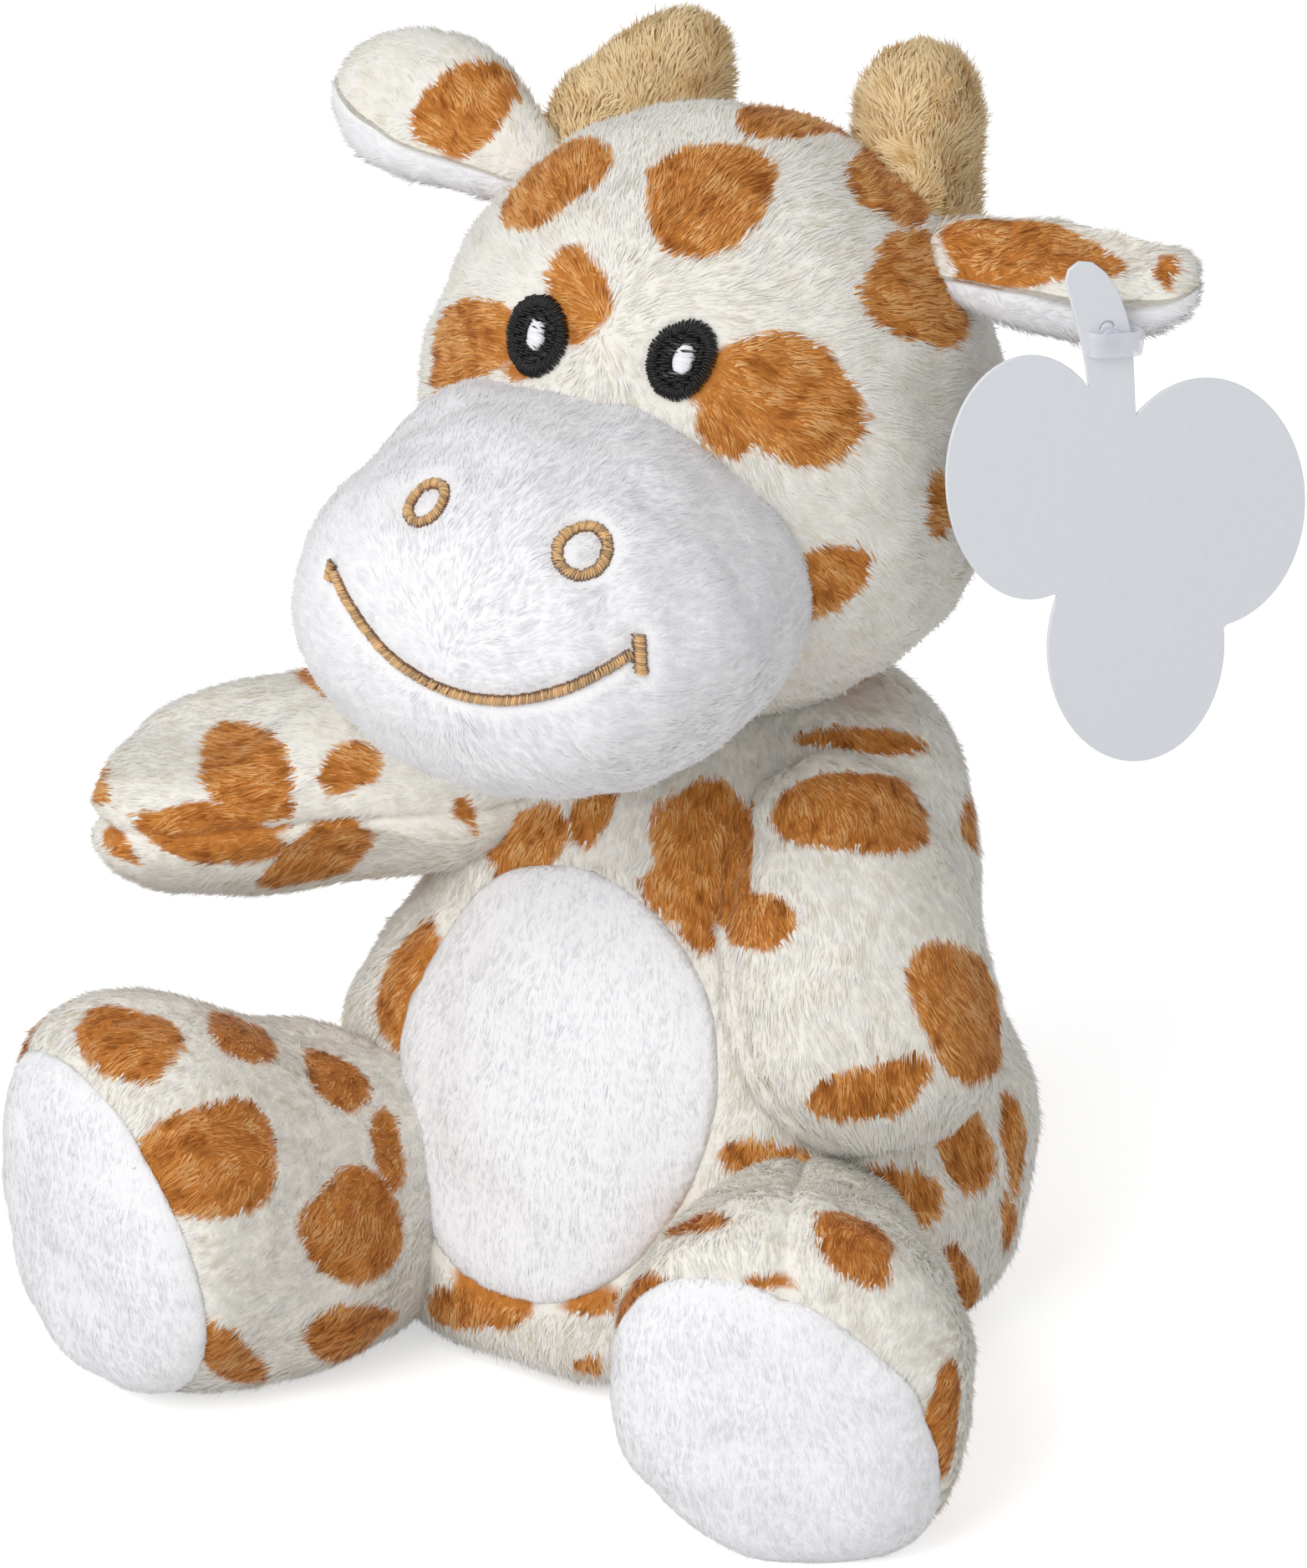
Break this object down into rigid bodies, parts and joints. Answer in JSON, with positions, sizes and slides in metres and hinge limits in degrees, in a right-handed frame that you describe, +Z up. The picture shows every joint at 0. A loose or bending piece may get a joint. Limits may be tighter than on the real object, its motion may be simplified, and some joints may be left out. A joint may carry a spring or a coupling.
{
  "type": "plush giraffe",
  "caption": "Seated stuffed giraffe toy with spotted plush body, white snout, belly and soles, short horns, hinged limbs, ears and tail, and a blank swing tag on one ear.",
  "frame": {"origin": "middle of the flat seat under the torso, on the surface that the giraffe sits on", "axes": "+Z up, -Y the way the giraffe looks, +X its own left side"},
  "size_m": [0.1501, 0.1585, 0.1711],
  "materials": {
    "spotted_plush": "short-pile plush, cream with orange-brown spots",
    "white_plush": "white short-pile plush",
    "tan_plush": "tan long-pile plush",
    "black_thread": "satin-stitched embroidery thread",
    "white_thread": "satin-stitched embroidery thread",
    "gold_thread": "satin-stitched embroidery thread",
    "tag_card": "smooth coated card",
    "clear_plastic": "clear moulded plastic"
  },
  "bodies": {
    "torso": {"torso": "spotted_plush", "belly_patch": "white_plush"},
    "head": {"head": "spotted_plush", "muzzle": "white_plush", "right_eye": "black_thread", "left_eye": "black_thread", "right_eye_glint": "white_thread", "left_eye_glint": "white_thread", "right_nostril": "gold_thread", "left_nostril": "gold_thread", "smile": "gold_thread", "right_smile_tick": "gold_thread", "left_smile_tick": "gold_thread", "right_horn": "tan_plush", "left_horn": "tan_plush"},
    "right_ear": {"right_ear": "spotted_plush", "right_ear_lining": "white_plush"},
    "left_ear": {"left_ear": "spotted_plush", "left_ear_lining": "white_plush", "tag_pin": "clear_plastic"},
    "right_arm": {"right_arm": "spotted_plush"},
    "left_arm": {"left_arm": "spotted_plush"},
    "right_leg": {"right_leg": "spotted_plush", "right_sole": "white_plush"},
    "left_leg": {"left_leg": "spotted_plush", "left_sole": "white_plush"},
    "tail": {"tail": "spotted_plush", "tail_tuft": "tan_plush"},
    "tag": {"tag_card": "tag_card", "tag_band": "clear_plastic"}
  },
  "joints": [
    {"name": "neck_turn", "type": "hinge", "parent": "torso", "child": "head", "pos_m": [0, 0.004, 0.067], "axis": [0, 0, 1], "range_deg": [-12, 12]},
    {"name": "right_ear_flap", "type": "hinge", "parent": "head", "child": "right_ear", "pos_m": [-0.0325, 0.011, 0.152], "axis": [-0.1736, -0.9848, 0], "range_deg": [-12, 20]},
    {"name": "left_ear_flap", "type": "hinge", "parent": "head", "child": "left_ear", "pos_m": [0.0325, 0.011, 0.149], "axis": [-0.1736, 0.9848, 0], "range_deg": [-15, 0]},
    {"name": "right_arm_lift", "type": "hinge", "parent": "torso", "child": "right_arm", "pos_m": [-0.026, -0.012, 0.074], "axis": [-0.4384, 0.8988, 0], "range_deg": [-25, 8]},
    {"name": "left_arm_lift", "type": "hinge", "parent": "torso", "child": "left_arm", "pos_m": [0.026, -0.012, 0.074], "axis": [-0.5736, -0.8192, 0], "range_deg": [0, 50]},
    {"name": "right_leg_turn", "type": "hinge", "parent": "torso", "child": "right_leg", "pos_m": [-0.029, -0.024, 0.018], "axis": [0, 0, 1], "range_deg": [-12, 6]},
    {"name": "left_leg_turn", "type": "hinge", "parent": "torso", "child": "left_leg", "pos_m": [0.029, -0.024, 0.018], "axis": [0, 0, 1], "range_deg": [-6, 12]},
    {"name": "tail_swing", "type": "hinge", "parent": "torso", "child": "tail", "pos_m": [0, 0.04074, 0.033], "axis": [0, 0, 1], "range_deg": [-25, 25]},
    {"name": "tag_swing", "type": "hinge", "parent": "left_ear", "child": "tag", "pos_m": [0.0573, 0.0039, 0.1449], "axis": [0.809, -0.5878, 0], "range_deg": [-8, 8]}
  ]
}
